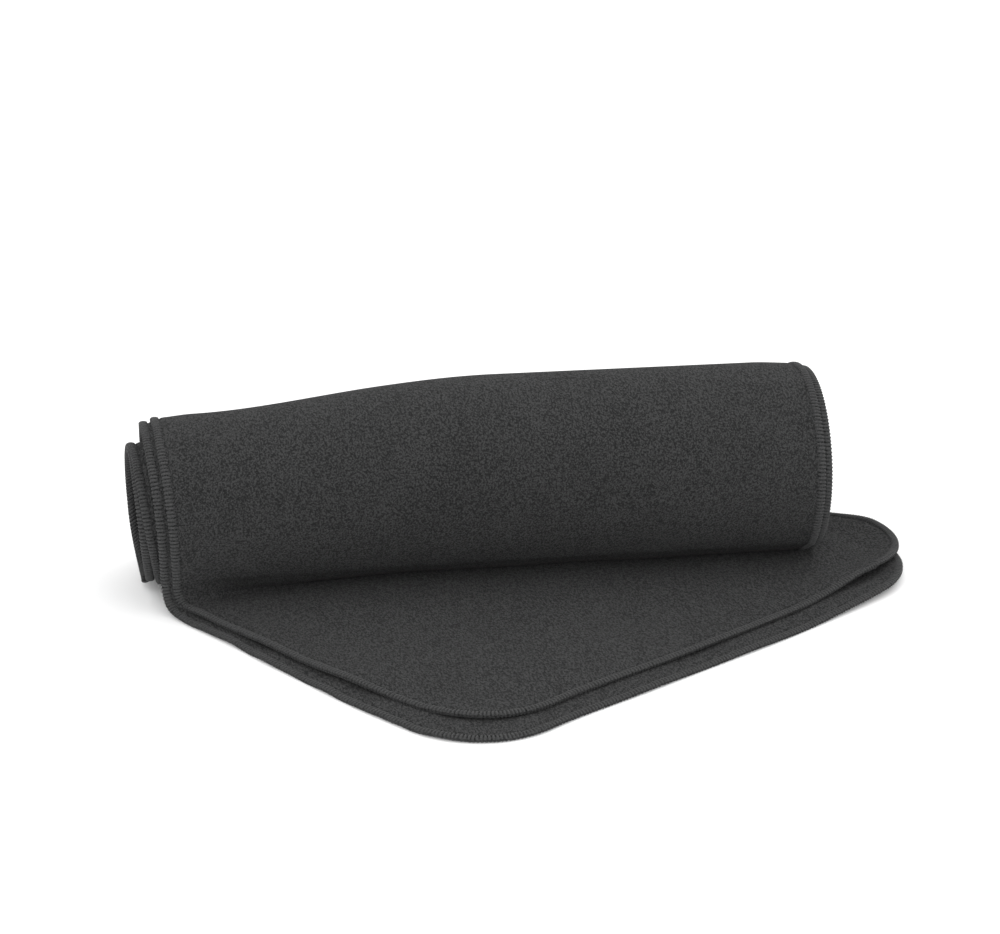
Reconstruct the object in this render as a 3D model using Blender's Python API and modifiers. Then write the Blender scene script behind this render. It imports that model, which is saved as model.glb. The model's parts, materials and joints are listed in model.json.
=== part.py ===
"""Fleece throw blanket, folded once crosswise and rolled up from the fold, its last stretch loose in front.

Metres, +Z up, standing on Z = 0. X runs along the roll, and -Y is the side where the loose end lies.
Both plies of the folded panel leave the roll along its front, pass under it, turn back along a diagonal
fold and spread out in front: the upper ply is the outer surface of the roll, the lower ply lies under it.
"""

import math

import bmesh
import bpy

# ---- driving dimensions -------------------------------------------------------------------------
WIDTH = 0.660  # cut width of the panel, along the roll
PLY = 0.0030  # thickness of one ply of fleece
SEAM_PROUD = 0.0001  # how far an overlocked edge stands out of each face of its ply
PLY_GAP = 0.0004  # air between edges that lie on each other
CLEARANCE = 0.0003  # between pieces that touch in the real blanket

LEFT_RADIUS = 0.091  # roll, outside, at its left end
RIGHT_RADIUS = 0.0995  # roll, outside, past RADIUS_RAMP
END_MARGIN = 0.03  # beside each end, where the roll keeps one radius and one height
RADIUS_RAMP = 0.40  # distance along the roll where the radius has grown to the larger one
ROLL_AHEAD = 0.018  # how far the roll's front lies ahead of the point where the diagonal fold starts
OUTER_START = 30.0  # degrees from the lowest point, towards the front, where the outer wrap begins
HALF_FOLD = 690.0  # degrees from the lowest point to the half fold inside the roll
COIL_DROP = 0.016  # how far the inner wrap lies inside the outer wrap
COIL_FROM, COIL_TO = 290.0, 440.0  # degrees over which the cloth steps inwards
CURL_DROP = 0.010  # further step of the half fold into the hollow
CURL_FROM = 600.0

LOWER_LEAD_LEFT = 0.015  # lower ply past the upper ply, at the roll's left end
LOWER_LEAD_RIGHT = 0.009  # the same, at its right end
INNER_LEAD_LEFT = 0.038  # inner wrap past the outer wrap's upper ply, left end
INNER_LEAD_RIGHT = -0.020  # the same at the right end, where it lies further in
LEAD_FROM, LEAD_TO = 330.0, 450.0  # degrees over which the inner wrap moves sideways

FOLD_ANGLE = math.radians(17.8)  # diagonal fold against the roll
TAIL_LENGTH = 0.441  # loose end, along its left edge
CORNER_RADIUS = 0.093  # cut corners
LOWER_OUT_LEFT = 0.016  # lower ply past the upper ply in the loose end, at its left edge
LOWER_OUT_FRONT = 0.022  # at its front edge
LOWER_OUT_RIGHT = -0.027  # at its right edge, where it lies further in
UNDER_ROLL_START = 0.040  # Y behind which the plies under the roll aren't modelled at its left end

LEFT_GAP = 0.0019  # air between the outer wrap's start and the loose end under it, at the left end
STACK_RAMP = 0.14  # distance along the roll where it has risen onto all four plies

LIFT_AHEAD = 0.015  # the upper ply lifts along a line this far in front of the roll
SEAM_SPLIT_GAP = 0.0015  # bare cloth beside that line, on each side of it

# ---- how finely it is divided ---------------------------------------------------------------------
WRAP_STEP = 12.0  # degrees
ROLL_COLUMNS = 11
FOLD_STEPS = 5
CORNER_STEPS = 10
SEAM_RESOLUTION = 1

# ---- what follows from them -------------------------------------------------------------------------
SEAM_RADIUS = PLY / 2 + SEAM_PROUD
PITCH = 2 * SEAM_RADIUS + PLY_GAP
STACK = 3 * PITCH + PLY + 2 * CLEARANCE  # four plies under the roll and air above them
HINGE_Y = -(ROLL_AHEAD + LIFT_AHEAD)
SEAM_INSET = 2 * SEAM_RADIUS + CLEARANCE  # from the finished edge to the cloth inside its bead
ACROSS = (math.cos(2 * FOLD_ANGLE), math.sin(2 * FOLD_ANGLE))  # along the loose end's front edge
ALONG = (math.sin(2 * FOLD_ANGLE), -math.cos(2 * FOLD_ANGLE))  # from the fold to the front edge

CHARCOAL = (0.045, 0.047, 0.048, 1.0)
THREAD = (0.060, 0.062, 0.063, 1.0)


def smooth(value, start, end):
    share = min(max((value - start) / (end - start), 0.0), 1.0)
    return share * share * (3 - 2 * share)


# ---- the roll's shape -------------------------------------------------------------------------------
def roll_radius(x):
    return LEFT_RADIUS + (RIGHT_RADIUS - LEFT_RADIUS) * smooth(x, END_MARGIN, RADIUS_RAMP)


def step_in(angle):
    """How far the wrap at this angle lies inside the outermost one."""
    return COIL_DROP * smooth(angle, COIL_FROM, COIL_TO) + CURL_DROP * smooth(angle, CURL_FROM, HALF_FOLD)


def stack_height(x):
    """Height of the second pass above the floor: on four plies, and just clear of two at the left end."""
    outer_start = LEFT_RADIUS * (1 - math.cos(math.radians(OUTER_START))) - step_in(360.0)
    left = PITCH + PLY + LEFT_GAP - outer_start
    return left + (STACK - left) * smooth(x, END_MARGIN, STACK_RAMP)


def roll_centre(x):
    """(y, z) of the middle of the roll, whose second pass rests on the plies under it."""
    radius = roll_radius(x)
    return radius - ROLL_AHEAD, stack_height(x) + radius - step_in(360.0)


def rim(angle, lower_share, left):
    """X of the cloth's edge at one end of the roll; lower_share is 0 on the upper ply and 1 on the lower."""
    inner = smooth(angle, LEAD_FROM, LEAD_TO)
    if left:
        return -(lower_share * LOWER_LEAD_LEFT * (1 - inner) + INNER_LEAD_LEFT * inner)
    return WIDTH + lower_share * LOWER_LEAD_RIGHT * (1 - inner) + INNER_LEAD_RIGHT * inner


def wrap_stations():
    """The plies' middle line as (angle, depth, lower_share): in along the upper, back along the lower."""
    count = round((HALF_FOLD - OUTER_START) / WRAP_STEP)
    angles = [OUTER_START + (HALF_FOLD - OUTER_START) * i / count for i in range(count + 1)]
    upper = [(angle, PLY / 2, 0.0) for angle in angles]
    inner_radius = roll_radius(WIDTH / 2) - step_in(HALF_FOLD)
    bend = []
    for i in range(1, FOLD_STEPS):
        turn = math.pi * i / FOLD_STEPS
        reach = math.degrees(PITCH / 2 * math.sin(turn) / inner_radius)
        share = (1 - math.cos(turn)) / 2
        bend.append((HALF_FOLD + reach, PLY / 2 + PITCH * share, share))
    lower = [(angle, PLY / 2 + PITCH, 1.0) for angle in reversed(angles)]
    return upper + bend + lower


def on_roll(x, station):
    """A point of the rolled cloth, at this distance along the roll."""
    angle, depth, _ = station
    radius = roll_radius(x) - depth - step_in(angle)
    middle_y, middle_z = roll_centre(x)
    turn = math.radians(angle)
    return (x, middle_y - radius * math.sin(turn), middle_z - radius * math.cos(turn))


# ---- the loose end's shape ---------------------------------------------------------------------------
def in_front(u, v):
    """A point of the flat loose end: u across it from its left edge, v from the diagonal fold's line."""
    return (u * ACROSS[0] + v * ALONG[0], u * ACROSS[1] + v * ALONG[1])


def rounded_front(left, right, front, radius):
    """The two front corners, from the left edge to the right edge, as points (x, y)."""
    points = []
    for middle, start in ((left + radius, math.pi), (right - radius, math.pi / 2)):
        for i in range(CORNER_STEPS + 1):
            turn = start - math.pi / 2 * i / CORNER_STEPS
            u, v = middle + radius * math.cos(turn), front - radius + radius * math.sin(turn)
            points.append(in_front(u, v))
    return points


def loose_outline(left, right, front, radius):
    """The loose end as (x, y) points from its back left to its back right, and the knee behind its fold."""
    slope = math.tan(FOLD_ANGLE)
    turn = left * (1 - ACROSS[0]) / ALONG[0]  # where the left edge leaves the roll's end and swings forward
    first = [(left, UNDER_ROLL_START), in_front(left, turn)]
    last = [in_front(right, right * slope)]
    knee = [(UNDER_ROLL_START / slope, UNDER_ROLL_START)]
    return first + rounded_front(left, right, front, radius) + last, knee


def set_in(edges, inset):
    """The same ply's edges, this far inside its finished edge."""
    left, right, front, radius = edges
    return left + inset, right - inset, front - inset, radius - inset


def ply_outlines(out_left, out_front, out_right):
    """The cloth inside its seam, closed along the diagonal fold, and the middle line of the seam."""
    edges = (-out_left, WIDTH + out_right, TAIL_LENGTH + out_front, CORNER_RADIUS)
    cloth, knee = loose_outline(*set_in(edges, SEAM_INSET))
    seam, _ = loose_outline(*set_in(edges, SEAM_RADIUS))
    return cloth + knee, seam


def crossing(before, after, line_y):
    """Where the straight line between two points (x, y) meets the line Y = line_y."""
    share = (line_y - before[1]) / (after[1] - before[1])
    return (before[0] + share * (after[0] - before[0]), line_y)


def cut_at(points, line_y, keep_front):
    """The part of a closed outline in front of, or behind, the line Y = line_y."""
    kept = []
    for i, point in enumerate(points):
        before = points[i - 1]
        inside, was_inside = ((p[1] < line_y) == keep_front for p in (point, before))
        if inside != was_inside:
            kept.append(crossing(before, point, line_y))
        if inside:
            kept.append(point)
    return kept


# ---- building objects -------------------------------------------------------------------------------
def fabric(name, colour):
    material = bpy.data.materials.new(name)
    material.use_nodes = True
    shader = material.node_tree.nodes["Principled BSDF"]
    shader.inputs["Base Color"].default_value = colour
    shader.inputs["Roughness"].default_value = 0.95
    shader.inputs["Metallic"].default_value = 0.0
    return material


def add(name, data, material, place=(0.0, 0.0, 0.0)):
    obj = bpy.data.objects.new(name, data)
    obj.data.materials.append(material)
    obj.location = place
    obj.parent = frame
    blanket.objects.link(obj)
    return obj


def flat_ply(name, outline, bottom, material, place=(0.0, 0.0, 0.0)):
    """One ply lying flat: an outline in (x, y), as thick as the cloth, its lower face at this height."""
    curve = bpy.data.curves.new(name, "CURVE")
    curve.dimensions = "2D"
    curve.fill_mode = "BOTH"
    curve.extrude = PLY / 2
    spline = curve.splines.new("POLY")
    spline.points.add(len(outline) - 1)
    for point, (x, y) in zip(spline.points, outline):
        point.co = (x - place[0], y - place[1], 0.0, 1.0)
    spline.use_cyclic_u = True
    add(name, curve, material, (place[0], place[1], bottom + PLY / 2))


def bead(name, points, material, place=(0.0, 0.0, 0.0)):
    """An overlocked edge: a thread-covered bead along these points."""
    curve = bpy.data.curves.new(name, "CURVE")
    curve.dimensions = "3D"
    curve.bevel_depth = SEAM_RADIUS
    curve.bevel_resolution = SEAM_RESOLUTION
    curve.use_fill_caps = True
    spline = curve.splines.new("POLY")
    spline.points.add(len(points) - 1)
    for point, (x, y, z) in zip(spline.points, points):
        point.co = (x - place[0], y - place[1], z - place[2], 1.0)
    add(name, curve, material, place)


def rolled_cloth(name, material):
    """Both plies in the roll, joined at the half fold, as one open surface with a Solidify."""
    stations = wrap_stations()
    mesh = bpy.data.meshes.new(name)
    grid = bmesh.new()
    bmesh.ops.create_grid(grid, x_segments=ROLL_COLUMNS, y_segments=len(stations) - 1, size=0.5)
    for vertex in grid.verts:
        column = round((vertex.co.x + 0.5) * ROLL_COLUMNS)
        station = stations[round((vertex.co.y + 0.5) * (len(stations) - 1))]
        if column == 0:
            x = rim(station[0], station[2], True) + SEAM_INSET
        elif column == ROLL_COLUMNS:
            x = rim(station[0], station[2], False) - SEAM_INSET
        else:
            x = END_MARGIN + (WIDTH - 2 * END_MARGIN) * (column - 1) / (ROLL_COLUMNS - 2)
        vertex.co = on_roll(x, station)
    bmesh.ops.recalc_face_normals(grid, faces=grid.faces)
    grid.to_mesh(mesh)
    grid.free()
    wall = add(name, mesh, material).modifiers.new("ply thickness", "SOLIDIFY")
    wall.thickness = PLY
    wall.offset = 0.0
    wall.use_even_offset = True


def roll_seam(name, material, left):
    """The overlocked edge round one end of the roll, in along one ply and back along the other."""
    inward = SEAM_RADIUS if left else -SEAM_RADIUS
    points = [on_roll(rim(station[0], station[2], left) + inward, station) for station in wrap_stations()]
    bead(name, points, material)


def stand_on_origin():
    """Moves the frame so that the middle of the finished blanket's underside is the origin."""
    bpy.context.view_layer.update()
    graph = bpy.context.evaluated_depsgraph_get()
    corners = []
    for obj in blanket.objects:
        if obj.type == "EMPTY":
            continue
        evaluated = obj.evaluated_get(graph)
        mesh = evaluated.to_mesh()
        corners += [evaluated.matrix_world @ vertex.co for vertex in mesh.vertices]
        evaluated.to_mesh_clear()
    low = [min(corner[axis] for corner in corners) for axis in range(3)]
    high = [max(corner[axis] for corner in corners) for axis in range(3)]
    frame.location = (-(low[0] + high[0]) / 2, -(low[1] + high[1]) / 2, -low[2])
    bpy.context.view_layer.update()


for leftover in list(bpy.data.objects):
    bpy.data.objects.remove(leftover, do_unlink=True)

blanket = bpy.data.collections.new("fleece_throw_blanket")
bpy.context.scene.collection.children.link(blanket)
frame = bpy.data.objects.new("blanket_frame", None)
blanket.objects.link(frame)

fleece = fabric("charcoal_fleece", CHARCOAL)
thread = fabric("overlock_thread", THREAD)

# ---- the roll ----------------------------------------------------------------------------------------
rolled_cloth("fleece_panel_roll", fleece)
roll_seam("overlock_edge_roll_left", thread, True)
roll_seam("overlock_edge_roll_right", thread, False)

# ---- the loose end, lower ply -------------------------------------------------------------------------
lower_cloth, lower_seam = ply_outlines(LOWER_OUT_LEFT, LOWER_OUT_FRONT, LOWER_OUT_RIGHT)
upper_cloth, upper_seam = ply_outlines(0.0, 0.0, 0.0)
flat_ply("fleece_lower_ply_loose_end", lower_cloth, 0.0, fleece)
bead("overlock_edge_lower_ply", [(x, y, SEAM_RADIUS) for x, y in lower_seam], thread)

# ---- the loose end, upper ply: it lifts in front of HINGE_Y --------------------------------------------
upper_bottom = PITCH
hinge = (WIDTH / 2, HINGE_Y, upper_bottom + PLY)
lifting_outline = cut_at(upper_cloth, HINGE_Y, True)
staying_outline = cut_at(upper_cloth, HINGE_Y + CLEARANCE, False)
flat_ply("fleece_upper_ply_lifting_end", lifting_outline, upper_bottom, fleece, hinge)
flat_ply("fleece_upper_ply_under_roll", staying_outline, upper_bottom, fleece)

in_front_of_hinge = [i for i, point in enumerate(upper_seam) if point[1] < HINGE_Y]
first, last = in_front_of_hinge[0], in_front_of_hinge[-1] + 1
left_split, right_split = upper_seam[first - 1 : first + 1], upper_seam[last - 1 : last + 1]
ahead, behind = HINGE_Y - SEAM_SPLIT_GAP, HINGE_Y + SEAM_SPLIT_GAP
seam_runs = (
    ("left", upper_seam[:first] + [crossing(*left_split, behind)], (0.0, 0.0, 0.0)),
    ("right", [crossing(*right_split, behind)] + upper_seam[last:], (0.0, 0.0, 0.0)),
    (
        "front",
        [crossing(*left_split, ahead)] + upper_seam[first:last] + [crossing(*right_split, ahead)],
        hinge,
    ),
)
for side, run, place in seam_runs:
    points = [(x, y, upper_bottom + SEAM_RADIUS) for x, y in run]
    bead(f"overlock_edge_upper_ply_{side}", points, thread, place)

# ---- the plies turned under the roll ---------------------------------------------------------------------
turned = [
    (UNDER_ROLL_START / math.tan(FOLD_ANGLE), UNDER_ROLL_START),
    (WIDTH - SEAM_INSET, UNDER_ROLL_START),
    (WIDTH - SEAM_INSET, (WIDTH - SEAM_INSET) * math.tan(FOLD_ANGLE)),
]
flat_ply("fleece_upper_ply_turned_under", turned, 2 * PITCH, fleece)
flat_ply("fleece_lower_ply_turned_under", turned, 3 * PITCH, fleece)

stand_on_origin()
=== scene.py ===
import json
import math

import bpy
import numpy as np
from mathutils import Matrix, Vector


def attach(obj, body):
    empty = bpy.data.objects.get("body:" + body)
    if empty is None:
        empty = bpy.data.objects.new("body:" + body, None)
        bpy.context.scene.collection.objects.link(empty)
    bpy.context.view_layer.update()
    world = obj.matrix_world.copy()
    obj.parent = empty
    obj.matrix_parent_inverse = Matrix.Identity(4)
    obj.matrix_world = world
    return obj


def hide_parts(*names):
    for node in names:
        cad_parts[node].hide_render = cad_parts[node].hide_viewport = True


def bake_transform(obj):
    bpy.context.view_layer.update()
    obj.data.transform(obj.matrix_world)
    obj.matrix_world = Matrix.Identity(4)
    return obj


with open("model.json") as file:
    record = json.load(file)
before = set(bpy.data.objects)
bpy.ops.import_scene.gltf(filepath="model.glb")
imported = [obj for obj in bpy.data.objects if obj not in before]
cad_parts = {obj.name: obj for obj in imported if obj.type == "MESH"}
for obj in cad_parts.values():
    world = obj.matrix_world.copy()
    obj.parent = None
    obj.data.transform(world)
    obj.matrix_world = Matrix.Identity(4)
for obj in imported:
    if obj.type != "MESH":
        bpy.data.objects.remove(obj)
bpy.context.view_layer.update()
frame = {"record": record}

# ---- sizes in metres and degrees: the CAD model's, where no comment gives its value ----------------------
WIDTH = 0.660
PLY = 0.0030
PITCH = 0.0036  # from one ply's middle to the next
LEFT_RADIUS = 0.091
RIGHT_RADIUS = 0.1005  # 0.0995 in the CAD
END_MARGIN = 0.03
RADIUS_RAMP = 0.34  # 0.40 in the CAD
ROLL_AHEAD = 0.018
HALF_FOLD = 690.0
COIL_DROP, COIL_FROM, COIL_TO = 0.016, 290.0, 440.0
CURL_DROP, CURL_FROM = 0.010, 600.0
LOWER_LEAD_LEFT, LOWER_LEAD_RIGHT = 0.0115, 0.0082  # 0.015 and 0.009 in the CAD
INNER_LEAD_LEFT, INNER_LEAD_RIGHT = 0.038, -0.020
LEAD_FROM = 330.0
LEAD_TO = 590.0  # 450 in the CAD
FOLD_ANGLE = math.radians(17.8)
TAIL_LENGTH = 0.441
CORNER_RADIUS = 0.093
LOWER_OUT_FRONT = 0.022
LOWER_OUT_LEFT, LOWER_OUT_RIGHT = 0.0125, -0.025  # 0.016 and -0.027 in the CAD
HINGE_Y = -0.033
ACROSS = np.array([math.cos(2 * FOLD_ANGLE), math.sin(2 * FOLD_ANGLE)])
ALONG = np.array([math.sin(2 * FOLD_ANGLE), -math.cos(2 * FOLD_ANGLE)])

# ---- what the cloth does beyond the plain CAD solids ----------------------------------------------------
STACK_LEFT, STACK_RIGHT, STACK_RAMP = 0.0035, 0.0088, 0.22  # the plies under the roll give way
LEAN_LEFT = 0.013  # the left rims lean outwards towards the top
DROOP_LEFT, DROOP_RIGHT = 0.0025, 0.003  # the outer wrap's ends, with nothing to hold them, sink a little
SAG_LEFT = 0.009  # the inner wrap sticks out of the roll's left end and hangs down there
HALF_FOLD_LEFT = 730.0  # the half fold lies further round at the left end
UPPER_OUT_RIGHT = 0.007  # the upper ply reaches further out at the right
UPPER_CORNER = 0.104  # the upper ply's corners are drawn in a little
FLOOR_GAP = 0.0001
GROOVE_DEPTH, GROOVE_FROM_EDGE = 0.0023, 0.0082  # the needle line pinches the cloth

# The model's zero is the roll's front at its left end. The hinge says where that is in the frame.
hinge = np.array(frame["record"]["behaviour"]["joints"][0]["pos_m"])
SHIFT = hinge - np.array([WIDTH / 2, HINGE_Y, PITCH + PLY])

# ---- how finely the cloth is divided --------------------------------------------------------------------
CELL = 0.0036
ROLL_STEP = 2.4  # degrees from one row of the roll to the next
HALF_FOLD_STEPS = 8
FOOT_ROWS = 110
CORNER_ROWS = 26
EDGE_STEPS = (0.0, 0.0005, 0.0013, 0.0025, 0.0042, 0.0058, 0.0068, 0.0076, 0.0085, 0.0100, 0.0122, 0.0152)


def smooth(value, start, end):
    share = np.clip((value - start) / (end - start), 0.0, 1.0)
    return share * share * (3 - 2 * share)


def mix(first, second, share):
    return first + (second - first) * share


def hill(value, middle, width):
    return np.exp(-(((value - middle) / width) ** 2))


# ---- the roll -------------------------------------------------------------------------------------------
def roll_radius(x):
    return mix(LEFT_RADIUS, RIGHT_RADIUS, smooth(x, END_MARGIN, RADIUS_RAMP))


def stack_height(x):
    return mix(STACK_LEFT, STACK_RIGHT, smooth(x, 0.0, STACK_RAMP))


def step_in(angle):
    return COIL_DROP * smooth(angle, COIL_FROM, COIL_TO) + CURL_DROP * smooth(angle, CURL_FROM, HALF_FOLD)


def rim(angle, lower, left):
    """X of the cloth's edge at one end of the roll; lower is 0 on the upper ply and 1 on the lower ply."""
    inner = smooth(angle, LEAD_FROM, LEAD_TO)
    if left:
        lean = LEAN_LEFT * smooth(angle, 70, 200)
        back = 0.003 * hill(angle, 610, 50) - 0.008 * smooth(angle, 640, HALF_FOLD_LEFT)
        return -(lower * LOWER_LEAD_LEFT + lean) * (1 - inner) - (INNER_LEAD_LEFT + back) * inner
    return WIDTH + lower * LOWER_LEAD_RIGHT * (1 - inner) + INNER_LEAD_RIGHT * inner


def between_rims(angle, lower, share):
    return mix(rim(angle, lower, True), rim(angle, lower, False), share)


def on_roll(x, angle, depth):
    """Points of the roll's cloth as an array with x, y, z last."""
    droop = DROOP_RIGHT * smooth(x, WIDTH - 0.05, WIDTH + 0.01) * smooth(angle, 60, 150)
    droop = droop * smooth(-angle, -330, -230)
    droop = droop + DROOP_LEFT * smooth(-x, -0.03, 0.01) * smooth(angle, 90, 160)
    radius = roll_radius(x) - depth - step_in(angle) - droop
    sag = SAG_LEFT * smooth(-x, -0.01, 0.035) * smooth(angle, 400, 520) * (1 + smooth(angle, 560, 700))
    middle_y = roll_radius(x) - ROLL_AHEAD
    middle_z = stack_height(x) + roll_radius(x) - step_in(360.0) - sag
    turn = np.radians(angle)
    y = middle_y - radius * np.sin(turn)
    z = np.maximum(middle_z - radius * np.cos(turn), PLY / 2 + 2 * FLOOR_GAP)
    return np.stack(np.broadcast_arrays(x, y, z), -1)


# ---- one ply, from the half fold to its front edge ------------------------------------------------------
def shares_across(width):
    """Shares of the width, close together in the sewn edge and even between."""
    edge = np.array(EDGE_STEPS) / width
    inner = np.linspace(edge[-1], 1 - edge[-1], int(round((width - 2 * EDGE_STEPS[-1]) / CELL)) + 1)
    return np.concatenate([edge[:-1], inner, 1 - edge[-2::-1]])


def resample(points, count):
    """Each column's polyline (rows, columns, 3) as count rows, evenly spaced along it."""
    steps = np.linalg.norm(np.diff(points, axis=0), axis=-1)
    along = np.concatenate([np.zeros((1, points.shape[1])), np.cumsum(steps, axis=0)])
    out = np.empty((count, points.shape[1], 3))
    for column in range(points.shape[1]):
        wanted = np.linspace(0, along[-1, column], count)
        for axis in range(3):
            out[:, column, axis] = np.interp(wanted, along[:, column], points[:, column, axis])
    return out


def relax(points, passes):
    """Rounds each column's polyline; passes holds how often, column by column."""
    for step in range(int(passes.max())):
        weight = np.clip(passes - step, 0.0, 1.0)[None, :, None]
        middle = (points[:-2] + points[2:]) / 2
        points[1:-1] += 0.5 * weight * (middle - points[1:-1])
    return points


LEAVE_LEFT, LEAVE_RIGHT = 78.0, 24.0  # where the cloth leaves the roll, in degrees from the floor
LEAVE_MORE = 40.0  # how far before that the foot's curve takes over
REACH = 0.075  # how far out on the loose end the foot's rows go
HALF_FOLD_RADIUS = 0.07
ROUNDING_LEFT, ROUNDING_LEFT_LOWER, ROUNDING_RIGHT = 130.0, 320.0, 3.0  # smoothing passes for the foot


def roll_rows(leave, lower, share, depth, u):
    """The ply in along the roll from the half fold, down to where the foot's curve takes over."""
    angles = np.arange(HALF_FOLD, leave.max() + LEAVE_MORE, -ROLL_STEP)
    end = (leave + LEAVE_MORE)[None, :]
    half_fold = mix(HALF_FOLD_LEFT, HALF_FOLD, smooth(u, -0.01, 0.10))[None, :]
    shape = end + (half_fold - end) * (angles[:, None] - angles[-1]) / (HALF_FOLD - angles[-1])
    rows = on_roll(between_rims(shape, lower, share), shape, depth)
    if lower:
        return rows
    # The half fold itself, round to where the lower ply begins.
    bend = np.linspace(math.pi, 0, HALF_FOLD_STEPS)[:-1, None]
    beyond = half_fold + np.degrees(PITCH / 2 * np.sin(bend) / HALF_FOLD_RADIUS)
    fold_x = between_rims(half_fold, 0, share) + 0 * bend
    return np.concatenate([on_roll(fold_x, beyond, depth + PITCH / 2 * (1 - np.cos(bend))), rows])


def foot_rows(leave, lower, share, depth, u):
    """Round the last of the roll, under it to the diagonal fold, and back out in front."""
    tail_z = PLY / 2 + (0 if lower else PITCH)
    under_z = (3 if lower else 2) * PITCH + PLY / 2
    slope = math.tan(FOLD_ANGLE)
    last = leave[None, :] + LEAVE_MORE * np.linspace(1, 0, 30)[:, None]
    arc = on_roll(between_rims(last, lower, share), last, depth)
    off = arc[-1]
    x_foot = between_rims(0.0, lower, share)
    turned = smooth(u, 0.03, 0.14)
    corner_z = mix(tail_z, under_z, turned)
    turn = np.radians(leave)
    corner_y = off[:, 1] + np.maximum(off[:, 2] - corner_z, 0) * np.cos(turn) / np.sin(turn)
    fold_y = np.maximum(corner_y, u * slope) + (0.5 + lower) * PITCH * turned
    corner = np.stack([x_foot, corner_y, corner_z], -1)
    fold_in = np.stack([mix(x_foot, u, 0.7), fold_y, corner_z], -1)
    fold_out = np.stack([u, fold_y, tail_z + 0 * u], -1)
    start = np.stack([u, u * slope, tail_z + 0 * u], -1)
    out = start + REACH * np.array([ALONG[0], ALONG[1], 0.0])
    path = [arc]
    stops = (off, corner, fold_in, fold_out, start, out)
    for a, b, steps in zip(stops, stops[1:], (24, 40, 6, 8, 40)):
        path.append(mix(a[None], b[None], np.linspace(0, 1, steps + 1)[1:, None, None]))
    foot = resample(np.concatenate(path), FOOT_ROWS)
    rounding = ROUNDING_LEFT_LOWER if lower else ROUNDING_LEFT
    return relax(foot, mix(rounding, ROUNDING_RIGHT, smooth(u, 0.0, 0.13)))


def tail_rows(lower, share, u):
    """The loose end, row by row to its front edge, whose corners are rounded."""
    front = TAIL_LENGTH + lower * LOWER_OUT_FRONT
    radius = CORNER_RADIUS if lower else UPPER_CORNER
    straight = front - radius
    begin = u * math.tan(FOLD_ANGLE) + REACH
    rows = np.linspace(0, 1, int(round((straight - REACH) / CELL)) + 1)[1:, None]
    theta = np.linspace(0, math.pi / 2, CORNER_ROWS + 1)[1:]
    theta = np.sort(np.concatenate([theta[:-1], theta[-1:] - np.array([0.06, 0.02, 0.0])]))[:, None]
    pull = radius * (1 - np.cos(theta))
    u_round = (u[0] + pull) + (u[-1] - u[0] - 2 * pull) * share[None, :]
    v_round = straight + radius * np.sin(theta) + 0 * share[None, :]
    uu = np.concatenate([u[None, :] + 0 * rows, u_round])
    vv = np.concatenate([begin[None, :] + (straight - begin)[None, :] * rows, v_round])
    # The edges aren't quite straight.
    near_left, near_front = (1 - share[None, :]) ** 3, smooth(vv, 0.18, front) ** 2
    if lower:
        wander = 0.008 * hill(uu, 0.40, 0.12) + 0.005 * hill(uu, 0.53, 0.08) - 0.006 * hill(uu, 0.10, 0.08)
        vv = vv + near_front * wander
        uu = uu - near_left * (0.004 * smooth(vv, 0.09, 0.18) + 0.005 * hill(vv, 0.30, 0.09))
    else:
        vv = vv - near_front * 0.012 * hill(uu, 0.13, 0.11)
        uu = uu + near_left * 0.012 * hill(vv, 0.36, 0.06)
    flat = uu[..., None] * ACROSS + vv[..., None] * ALONG
    tail_z = PLY / 2 + (0 if lower else PITCH)
    return np.concatenate([flat, np.full(flat.shape[:2] + (1,), tail_z)], -1)


def ply_surface(lower, share):
    """The middle surface of one ply as a grid (rows, columns, 3); lower as in rim."""
    depth = PLY / 2 + lower * PITCH
    u = mix(-lower * LOWER_OUT_LEFT, WIDTH + (LOWER_OUT_RIGHT if lower else UPPER_OUT_RIGHT), share)
    leave = mix(LEAVE_LEFT, LEAVE_RIGHT, smooth(u, -0.01, 0.115))
    roll = roll_rows(leave, lower, share, depth, u)
    foot = foot_rows(leave, lower, share, depth, u)
    return np.concatenate([roll, foot[1:], tail_rows(lower, share, u)])


# ---- how the loose end lies -----------------------------------------------------------------------------
def edge_gap(x, y, lower):
    """How far inside the loose end's right and front edges a place is, and where it is across and along."""
    radius = CORNER_RADIUS if lower else UPPER_CORNER
    right = WIDTH + (LOWER_OUT_RIGHT if lower else UPPER_OUT_RIGHT) - radius
    front = TAIL_LENGTH + lower * LOWER_OUT_FRONT - radius
    u, v = x * ACROSS[0] + y * ACROSS[1], x * ALONG[0] + y * ALONG[1]
    return radius - np.where(v > front, np.hypot(np.maximum(u - right, 0), v - front), u - right), u, v


def upper_lift(x, y):
    """How far the upper ply's loose end stands above flat, its right corner curled up, and its edge_gap."""
    inside, u, v = edge_gap(x, y, 0)
    left = smooth(-u, -0.10, 0.02)
    corner = smooth(u, 0.44, 0.58) * smooth(v, 0.27, 0.36)
    lift = 0.0026 + 0.0008 * np.sin(u * 23 + 1.0) * np.sin(v * 31 + 0.4)
    lift = lift + left * (0.0022 * smooth(-v, -0.40, -0.25) + 0.0012 * np.sin(v * 47 + 1.4))
    lift = lift + 0.0112 * corner * smooth(-inside, -0.050, 0.003) ** 1.3
    return lift + 0.0045 * hill(0.9 * u + 0.3 * v, 0.632, 0.030) * hill(v, 0.33, 0.10), inside


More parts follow.
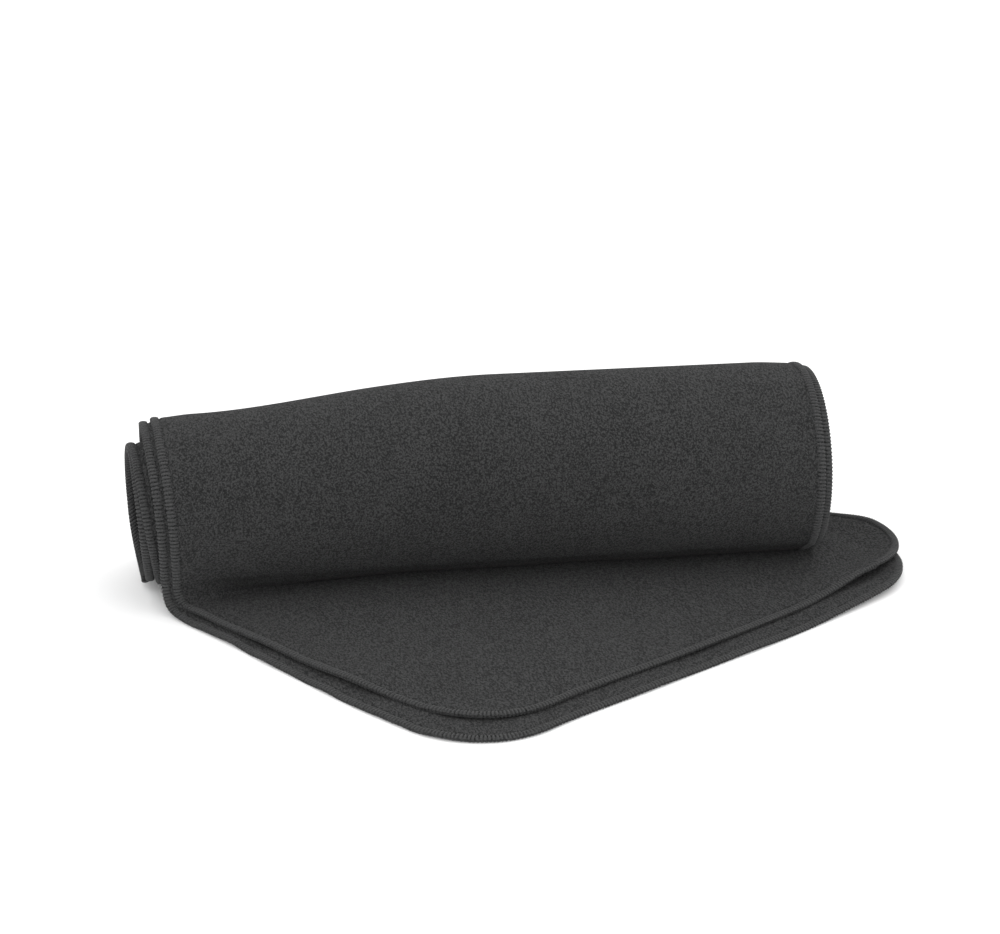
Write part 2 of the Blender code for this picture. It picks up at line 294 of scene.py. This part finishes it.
def lie(points, lower):
    """Gives the flat loose end the soft shape it has."""
    x, y, z = points[..., 0], points[..., 1], points[..., 2]
    low = (z < 0.03) * smooth(-y + 0.35 * x, -0.02, 0.05)
    lift, under = upper_lift(x, y)
    if lower:
        inside, u, v = edge_gap(x, y, 1)
        wave = np.sin(v * 78 + 0.5) + 0.7 * np.sin(v * 131 + u * 9)
        own = 0.0012 + 0.0005 * (1 + wave) * smooth(-u, -0.10, 0.02) + 0.0005 * np.sin(u * 47 + v * 23)
        own = own + 0.0085 * smooth(u, 0.42, 0.60) * smooth(v, 0.27, 0.37) * smooth(-inside, -0.05, 0.0)
        lift = np.where(under > -0.004, np.minimum(own, lift), own)
    points[..., 2] = z + lift * low
    return points


# ---- meshes ---------------------------------------------------------------------------------------------
def mesh_object(name, vertices, face_sets):
    """An object of these vertices; each face set is an array (faces, corners)."""
    totals = np.concatenate([np.full(len(faces), faces.shape[1]) for faces in face_sets])
    corners = np.concatenate([faces.ravel() for faces in face_sets])
    mesh = bpy.data.meshes.new(name)
    mesh.vertices.add(len(vertices))
    mesh.vertices.foreach_set("co", vertices.astype(np.float32).ravel())
    mesh.loops.add(len(corners))
    mesh.loops.foreach_set("vertex_index", corners.astype(np.int32))
    mesh.polygons.add(len(totals))
    mesh.polygons.foreach_set("loop_start", np.concatenate([[0], np.cumsum(totals)[:-1]]).astype(np.int32))
    mesh.polygons.foreach_set("loop_total", totals.astype(np.int32))
    mesh.update(calc_edges=True)
    mesh.shade_smooth()
    obj = bpy.data.objects.new(name, mesh)
    bpy.context.scene.collection.objects.link(obj)
    return obj


def normals_of(points):
    normal = np.cross(np.gradient(points, axis=1), np.gradient(points, axis=0))
    return normal / np.maximum(np.linalg.norm(normal, axis=-1, keepdims=True), 1e-12)


def cloth_thickness(points, share):
    """Thickness over the grid: thin at the edge, full under the threads, pinched at the needle line."""
    side = np.minimum(share, 1 - share) * WIDTH
    gaps = np.linalg.norm(np.diff(points[:, len(share) // 2], axis=0), axis=1)
    from_front = np.concatenate([[0], np.cumsum(gaps[::-1])])[::-1]
    edge = np.minimum(side[None, :], from_front[:, None])
    thickness = PLY * (0.45 + 0.55 * smooth(edge, -0.001, 0.003)) + 0.0004 * hill(edge, 0.0038, 0.0022)
    return thickness - GROOVE_DEPTH * hill(edge, GROOVE_FROM_EDGE, 0.0015)


def cloth_mesh(name, points, thickness):
    """A closed sheet round this middle surface."""
    rows, columns = points.shape[:2]
    offset = normals_of(points) * thickness[..., None] / 2
    vertices = np.concatenate([(points + offset).reshape(-1, 3), (points - offset).reshape(-1, 3)]) + SHIFT
    index = np.arange(rows * columns).reshape(rows, columns)
    a, b, c, d = index[:-1, :-1], index[:-1, 1:], index[1:, 1:], index[1:, :-1]
    upper = np.stack([a, b, c, d], -1).reshape(-1, 4)
    under = np.stack([a, d, c, b], -1).reshape(-1, 4) + rows * columns
    loop = np.concatenate([index[0, :], index[1:, -1], index[-1, -2::-1], index[-2:0:-1, 0]])
    after = np.roll(loop, -1)
    wall = np.stack([after, loop, loop + rows * columns, after + rows * columns], -1)
    return mesh_object(name, vertices, [upper, under, wall])


# ---- overlock threads -----------------------------------------------------------------------------------
STITCH = 0.0038
YARN = 0.00125
EDGE_SAMPLE = 0.0008  # from one sample of the edge to the next
BARE_END = 0.004  # edge without stitches at each end of the seam
UNEVEN_STITCH, UNEVEN_REACH = 0.00012, 0.035
# One looper wrap: along the edge, into the cloth and out of its face, from the needle line over the edge and
# underneath.
WRAP = np.array((
    (0.0052, 0.0084, -0.0003), (0.0045, 0.0070, 0.0012), (0.0032, 0.0050, 0.0018),
    (0.0019, 0.0030, 0.0018), (0.0007, 0.0012, 0.0013), (0.0001, 0.0002, 0.0005),
    (0.0000, 0.0002, -0.0005), (0.0001, 0.0012, -0.0013), (0.0002, 0.0030, -0.0017),
    (0.0003, 0.0050, -0.0017), (0.0004, 0.0066, -0.0013), (0.0004, 0.0073, -0.0004),
))
WRAP_RADII = YARN * np.array([0.40, 0.62, 0.95, 1.05, 1.0, 0.95, 0.95, 1.0, 1.0, 0.95, 0.80, 0.55])


def boundary(points):
    """Places and normals along the ply's sewn edge: from the half fold down the left, round the front and
    back up the right."""
    rows, columns = points.shape[:2]
    left = [(row, 0) for row in range(rows)]
    front = [(rows - 1, column) for column in range(1, columns - 1)]
    right = [(row, columns - 1) for row in range(rows - 1, -1, -1)]
    at = tuple(np.array(left + front + right).T)
    return points[at], normals_of(points)[at]


def unit(vectors):
    return vectors / np.maximum(np.linalg.norm(vectors, axis=-1, keepdims=True), 1e-12)


def follow(where, along, field):
    """A field of vectors, known at these distances along the edge, at other distances."""
    return np.stack([np.interp(where, along, field[:, i]) for i in range(3)], -1)


def even_edge(place, up, spacing):
    """The edge at even steps: distance along it, place, normal and the way into the cloth."""
    steps = np.linalg.norm(np.diff(place, axis=0), axis=1)
    along = np.concatenate([[0], np.cumsum(steps)])
    s = np.linspace(0, along[-1], int(along[-1] / spacing) + 1)
    at = follow(s, along, place)
    normal = unit(follow(s, along, up))
    inward = unit(np.cross(unit(np.gradient(at, axis=0)), normal))
    return s, at, normal, inward


def tubes(name, paths, radii, sides):
    """One mesh of closed tubes along paths (tubes, points, 3) with radii (points,)."""
    count, length = paths.shape[:2]
    ahead = unit(np.gradient(paths, axis=1))
    base = np.zeros_like(ahead)
    base[..., 2] = 1.0
    base[np.abs(ahead[..., 2]) > 0.9] = (1.0, 0.0, 0.0)
    side = unit(np.cross(ahead, base))
    other = np.cross(ahead, side)
    turn = np.linspace(0, 2 * math.pi, sides, endpoint=False)[:, None]
    round_it = np.cos(turn) * side[:, :, None, :] + np.sin(turn) * other[:, :, None, :]
    vertices = (paths[:, :, None, :] + radii[None, :, None, None] * round_it).reshape(-1, 3) + SHIFT
    vertices[:, 2] = np.maximum(vertices[:, 2], FLOOR_GAP)
    index = np.arange(count * length * sides).reshape(count, length, sides)
    after = np.roll(index, -1, axis=2)
    walls = np.stack([index[:, :-1], after[:, :-1], after[:, 1:], index[:, 1:]], -1).reshape(-1, 4)
    return mesh_object(name, vertices, [walls, index[:, 0, ::-1], index[:, -1, :]])


def overlock(name, points):
    """The looper threads: one slanted wrap over the edge for each stitch."""
    s, at, normal, inward = even_edge(*boundary(points), EDGE_SAMPLE)
    starts = np.arange(BARE_END, s[-1] - BARE_END, STITCH)
    rng = np.random.default_rng(7)
    starts = starts + rng.normal(0, UNEVEN_STITCH, len(starts))
    where = starts[:, None] + WRAP[None, :, 0]
    place, into, out = (follow(where, s, field) for field in (at, inward, normal))
    reach = 1 + rng.normal(0, UNEVEN_REACH, (len(starts), 1, 1))
    paths = place + into * WRAP[None, :, 1, None] * reach + out * WRAP[None, :, 2, None]
    return tubes(name, paths, WRAP_RADII, 6)


# ---- materials ------------------------------------------------------------------------------------------
FLEECE_DARK, FLEECE_LIGHT = (0.0122, 0.0125, 0.0127, 1), (0.0490, 0.0493, 0.0496, 1)
THREAD_DARK, THREAD_LIGHT = (0.0240, 0.0243, 0.0246, 1), (0.0570, 0.0573, 0.0576, 1)


def new_material(name, roughness, specular, sheen):
    material = bpy.data.materials.new(name)
    material.use_nodes = True
    shader = material.node_tree.nodes["Principled BSDF"]
    shader.inputs["Roughness"].default_value = roughness
    shader.inputs["Specular IOR Level"].default_value = specular
    shader.inputs["Sheen Weight"].default_value = sheen
    return material, material.node_tree, shader


def node(tree, kind, **values):
    made = tree.nodes.new(kind)
    for key, value in values.items():
        if key in made.inputs:
            made.inputs[key].default_value = value
        else:
            setattr(made, key, value)
    return made


def multiply_add(tree, value, factor, added):
    """value * factor + added, where value and added are sockets."""
    made = node(tree, "ShaderNodeMath", operation="MULTIPLY_ADD")
    tree.links.new(value, made.inputs[0])
    made.inputs[1].default_value = factor
    tree.links.new(added, made.inputs[2])
    return made.outputs["Value"]


def colour(tree, shader, shade, *stops):
    """Colours the shader by the shade socket, from the first stop to the last."""
    ramp = node(tree, "ShaderNodeValToRGB")
    for element, (position, tone) in zip(ramp.color_ramp.elements, stops):
        element.position = position
        element.color = tone
    tree.links.new(shade, ramp.inputs["Fac"])
    tree.links.new(ramp.outputs["Color"], shader.inputs["Base Color"])


def bump(tree, shader, height, strength, distance):
    relief = node(tree, "ShaderNodeBump", Strength=strength, Distance=distance)
    tree.links.new(height, relief.inputs["Height"])
    tree.links.new(relief.outputs["Normal"], shader.inputs["Normal"])


def fleece_material(name):
    material, tree, shader = new_material(name, 1.0, 0.05, 0.05)
    shader.inputs["Sheen Roughness"].default_value = 0.6
    place = node(tree, "ShaderNodeTexCoord")
    nap_lie = node(tree, "ShaderNodeMapping", Scale=(1.0, 0.42, 1.0))
    tree.links.new(place.outputs["Object"], nap_lie.inputs["Vector"])
    nap = node(tree, "ShaderNodeTexNoise", Scale=690.0, Detail=3.0, Roughness=0.6)
    pills = node(tree, "ShaderNodeTexVoronoi", Scale=470.0)
    broad = node(tree, "ShaderNodeTexNoise", Scale=26.0, Detail=3.0)
    fibre = node(tree, "ShaderNodeTexNoise", Scale=1600.0, Detail=2.0)
    for texture in (nap, pills, broad, fibre):
        tree.links.new(nap_lie.outputs["Vector"], texture.inputs["Vector"])
    tufts = multiply_add(tree, pills.outputs["Distance"], -0.28, nap.outputs["Fac"])
    shade = multiply_add(tree, broad.outputs["Fac"], 0.08, tufts)
    height = multiply_add(tree, fibre.outputs["Fac"], 0.22, tufts)
    colour(tree, shader, shade, (0.292, FLEECE_DARK), (0.515, FLEECE_LIGHT))
    bump(tree, shader, height, 1.0, 0.0030)
    return material


def thread_material(name):
    material, tree, shader = new_material(name, 0.85, 0.2, 0.08)
    place = node(tree, "ShaderNodeTexCoord")
    strand = node(tree, "ShaderNodeTexNoise", Scale=900.0, Detail=2.0)
    tree.links.new(place.outputs["Object"], strand.inputs["Vector"])
    colour(tree, shader, strand.outputs["Fac"], (0.3, THREAD_DARK), (0.7, THREAD_LIGHT))
    bump(tree, shader, strand.outputs["Fac"], 0.5, 0.0004)
    return material


# ---- putting it together --------------------------------------------------------------------------------
fleece = fleece_material("charcoal_fleece")
thread = thread_material("charcoal_thread")
share = shares_across(WIDTH)
pieces = []
for lower, label in ((0, "upper"), (1, "lower")):
    points = lie(ply_surface(lower, share), lower)
    cloth = cloth_mesh(f"fleece_{label}_ply", points, cloth_thickness(points, share))
    cloth.data.materials.append(fleece)
    seam = overlock(f"overlock_{label}_ply", points)
    seam.data.materials.append(thread)
    pieces.append((cloth, seam))
(upper, upper_seam), (lower, lower_seam) = pieces

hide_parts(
    "fleece_panel_roll",
    "fleece_upper_ply_turned_under",
    "fleece_upper_ply_under_roll",
    "fleece_upper_ply_lifting_end",
)
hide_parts("fleece_lower_ply_turned_under", "fleece_lower_ply_loose_end")
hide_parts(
    "overlock_edge_upper_ply_front",
    "overlock_edge_upper_ply_left",
    "overlock_edge_upper_ply_right",
)
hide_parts("overlock_edge_roll_left", "overlock_edge_roll_right", "overlock_edge_lower_ply")

# The upper ply bends just in front of the roll when its loose end lifts; here its placement is only baked
# into its meshes and it stays unattached.
for piece in (upper, upper_seam):
    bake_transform(piece)
for piece in (lower, lower_seam):
    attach(piece, "rolled_blanket")

# ---- floor, light and camera ----------------------------------------------------------------------------
bpy.ops.mesh.primitive_plane_add(size=12, location=(0, 0, 0))
floor = bpy.context.object
floor.name = "floor"
pale = bpy.data.materials.new("pale_floor")
pale.use_nodes = True
pale.node_tree.nodes["Principled BSDF"].inputs["Base Color"].default_value = (0.95, 0.95, 0.95, 1)
pale.node_tree.nodes["Principled BSDF"].inputs["Roughness"].default_value = 0.9
floor.data.materials.append(pale)


def lamp(name, place, aim, size, watts):
    light = bpy.data.lights.new(name, "AREA")
    light.shape = "DISK"
    light.size = size
    light.energy = watts
    obj = bpy.data.objects.new(name, light)
    obj.location = place
    obj.rotation_euler = (Vector(aim) - Vector(place)).to_track_quat("-Z", "Y").to_euler()
    bpy.context.scene.collection.objects.link(obj)


lamp("key_softbox", (0.7, 0.5, 2.2), (0, 0, 0.1), 1.2, 5)
lamp("front_fill", (-0.5, -3.0, 1.3), (0, 0, 0.1), 1.6, 34)
world = bpy.data.worlds.new("studio")
world.use_nodes = True
world.node_tree.nodes["Background"].inputs["Color"].default_value = (1, 1, 1, 1)
world.node_tree.nodes["Background"].inputs["Strength"].default_value = 1.28
bpy.context.scene.world = world
bpy.context.scene.view_settings.view_transform = "Standard"

CAMERA_TURN, CAMERA_DOWN, CAMERA_DISTANCE = math.radians(-8.6), math.radians(21.0), 2.6
FRAME_METRES = 1.0  # how wide the picture is at the blanket
AIM = np.array([0.33, -0.02, 0.07]) + SHIFT
AIM_RIGHT, AIM_BELOW = 0.004, 0.069  # where the aim lies from the picture's middle, as shares of its width
level = math.cos(CAMERA_DOWN)
back = Vector((math.sin(CAMERA_TURN) * level, -math.cos(CAMERA_TURN) * level, math.sin(CAMERA_DOWN)))
lens = bpy.data.cameras.new("camera")
lens.sensor_width = 36.0
lens.lens = CAMERA_DISTANCE / FRAME_METRES * lens.sensor_width
lens.shift_x = -AIM_RIGHT
lens.shift_y = AIM_BELOW
camera = bpy.data.objects.new("camera", lens)
camera.location = Vector(AIM) + back * CAMERA_DISTANCE
camera.rotation_euler = back.to_track_quat("Z", "Y").to_euler()
bpy.context.scene.collection.objects.link(camera)
bpy.context.scene.camera = camera
